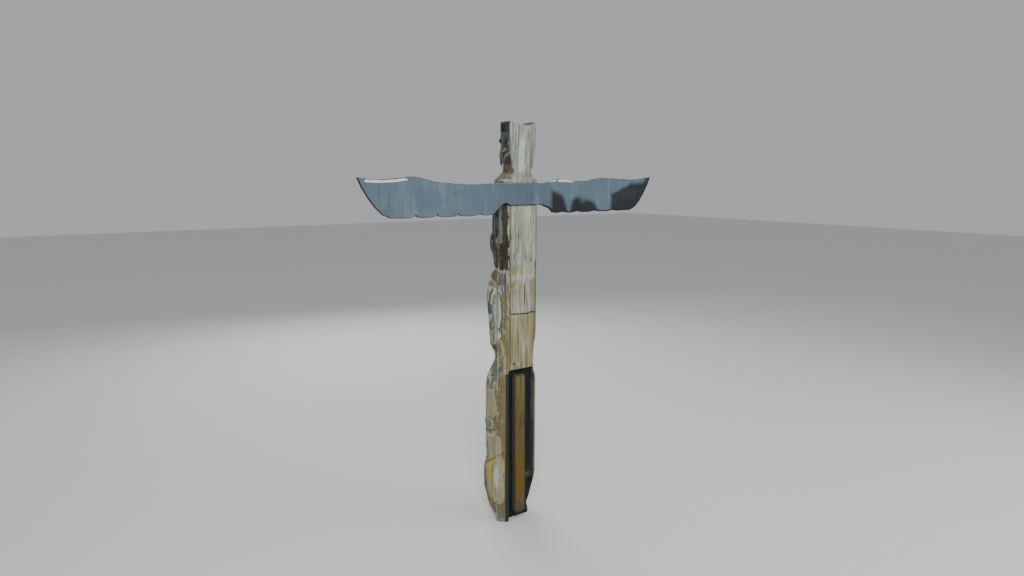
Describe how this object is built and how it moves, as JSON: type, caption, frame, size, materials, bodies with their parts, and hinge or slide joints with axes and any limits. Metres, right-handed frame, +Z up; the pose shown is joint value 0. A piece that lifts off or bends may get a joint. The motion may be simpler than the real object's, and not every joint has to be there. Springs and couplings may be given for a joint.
{
  "type": "totem pole",
  "caption": "Free-standing carved and painted cedar totem pole: a winged thunderbird above a raven and a seated bear, flat sawn back, weathered.",
  "frame": {"origin": "centre of the log on the ground, at the sawn butt", "axes": "+Z up the pole, -Y the carved front, +Y the flat back, +X the thunderbird's left wing"},
  "size_m": [3.054, 0.4435, 3.632],
  "materials": {
    "weathered_cedar": "matte",
    "painted_plank": "matte",
    "post_wood": "matte"
  },
  "bodies": {
    "root": {"pole": "weathered_cedar", "wings": "painted_plank", "support_post": "post_wood"}
  },
  "joints": []
}
